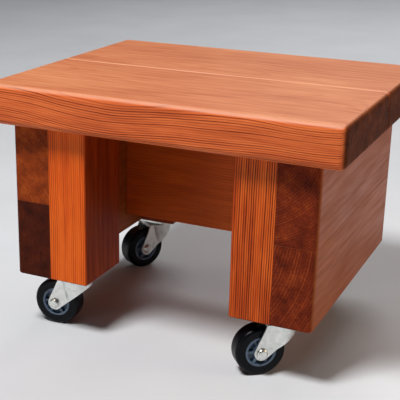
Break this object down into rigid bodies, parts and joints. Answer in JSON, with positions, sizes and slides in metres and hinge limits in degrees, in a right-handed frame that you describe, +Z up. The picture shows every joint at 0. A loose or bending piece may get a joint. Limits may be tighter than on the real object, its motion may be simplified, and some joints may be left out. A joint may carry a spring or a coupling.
{
  "type": "plant pot caddy",
  "caption": "Low wooden platform with an open-fronted base of stacked boards and posts, carried on swivel casters, for rolling a heavy plant pot.",
  "frame": {"origin": "on the floor, under the middle of the platform", "axes": "+Z up, +Y towards the back, +X to the right, along the boards of the top"},
  "size_m": [0.342, 0.284, 0.245],
  "materials": {
    "redwood_top": "oiled redwood, satin",
    "redwood_base": "oiled redwood, satin",
    "dowel_wood": "plain birch",
    "zinc_steel": "bright zinc plate",
    "ball_steel": "polished steel",
    "hub_plastic": "moulded blue-grey nylon",
    "tyre_rubber": "smooth black rubber"
  },
  "bodies": {
    "frame": {"top_front_board": "redwood_top", "top_rear_board": "redwood_top", "left_lower_side_board": "redwood_base", "left_upper_side_board": "redwood_base", "right_lower_side_board": "redwood_base", "right_upper_side_board": "redwood_base", "front_left_post": "redwood_base", "front_right_post": "redwood_base", "rear_left_post": "redwood_base", "rear_right_post": "redwood_base", "stretcher": "redwood_base", "top_seam_dowels": "dowel_wood", "top_dowels": "dowel_wood", "side_board_dowels": "dowel_wood", "post_dowels": "dowel_wood", "stretcher_dowels": "dowel_wood", "front_left_plate": "zinc_steel", "front_left_screws": "zinc_steel", "front_left_balls": "ball_steel", "front_left_kingpin": "zinc_steel", "front_right_plate": "zinc_steel", "front_right_screws": "zinc_steel", "front_right_balls": "ball_steel", "front_right_kingpin": "zinc_steel", "rear_left_plate": "zinc_steel", "rear_left_screws": "zinc_steel", "rear_left_balls": "ball_steel", "rear_left_kingpin": "zinc_steel", "rear_right_plate": "zinc_steel", "rear_right_screws": "zinc_steel", "rear_right_balls": "ball_steel", "rear_right_kingpin": "zinc_steel"},
    "front_left_swivel_fork": {"front_left_fork": "zinc_steel", "front_left_axle_bolt": "zinc_steel", "front_left_axle_nut": "zinc_steel", "front_left_axle_bush": "ball_steel"},
    "front_left_wheel": {"front_left_hub": "hub_plastic", "front_left_tyre": "tyre_rubber"},
    "front_right_swivel_fork": {"front_right_fork": "zinc_steel", "front_right_axle_bolt": "zinc_steel", "front_right_axle_nut": "zinc_steel", "front_right_axle_bush": "ball_steel"},
    "front_right_wheel": {"front_right_hub": "hub_plastic", "front_right_tyre": "tyre_rubber"},
    "rear_left_swivel_fork": {"rear_left_fork": "zinc_steel", "rear_left_axle_bolt": "zinc_steel", "rear_left_axle_nut": "zinc_steel", "rear_left_axle_bush": "ball_steel"},
    "rear_left_wheel": {"rear_left_hub": "hub_plastic", "rear_left_tyre": "tyre_rubber"},
    "rear_right_swivel_fork": {"rear_right_fork": "zinc_steel", "rear_right_axle_bolt": "zinc_steel", "rear_right_axle_nut": "zinc_steel", "rear_right_axle_bush": "ball_steel"},
    "rear_right_wheel": {"rear_right_hub": "hub_plastic", "rear_right_tyre": "tyre_rubber"}
  },
  "joints": [
    {"name": "front_left_swivel", "type": "hinge", "parent": "frame", "child": "front_left_swivel_fork", "pos_m": [-0.099, -0.098, 0.0508], "axis": [0, 0, 1], "continuous": true},
    {"name": "front_left_wheel_spin", "type": "hinge", "parent": "front_left_swivel_fork", "child": "front_left_wheel", "pos_m": [-0.11892, -0.09974, 0.02325], "axis": [-0.0872, 0.9962, 0], "continuous": true},
    {"name": "front_right_swivel", "type": "hinge", "parent": "frame", "child": "front_right_swivel_fork", "pos_m": [0.111, -0.098, 0.0508], "axis": [0, 0, 1], "continuous": true},
    {"name": "front_right_wheel_spin", "type": "hinge", "parent": "front_right_swivel_fork", "child": "front_right_wheel", "pos_m": [0.09546, -0.11059, 0.02325], "axis": [-0.6293, 0.7771, 0], "continuous": true},
    {"name": "rear_left_swivel", "type": "hinge", "parent": "frame", "child": "rear_left_swivel_fork", "pos_m": [-0.102, 0.086, 0.0508], "axis": [0, 0, 1], "continuous": true},
    {"name": "rear_left_wheel_spin", "type": "hinge", "parent": "rear_left_swivel_fork", "child": "rear_left_wheel", "pos_m": [-0.112, 0.06868, 0.02325], "axis": [-0.866, 0.5, 0], "continuous": true},
    {"name": "rear_right_swivel", "type": "hinge", "parent": "frame", "child": "rear_right_swivel_fork", "pos_m": [0.111, 0.086, 0.0508], "axis": [0, 0, 1], "continuous": true},
    {"name": "rear_right_wheel_spin", "type": "hinge", "parent": "rear_right_swivel_fork", "child": "rear_right_wheel", "pos_m": [0.09246, 0.07851, 0.02325], "axis": [-0.3746, 0.9272, 0], "continuous": true}
  ]
}
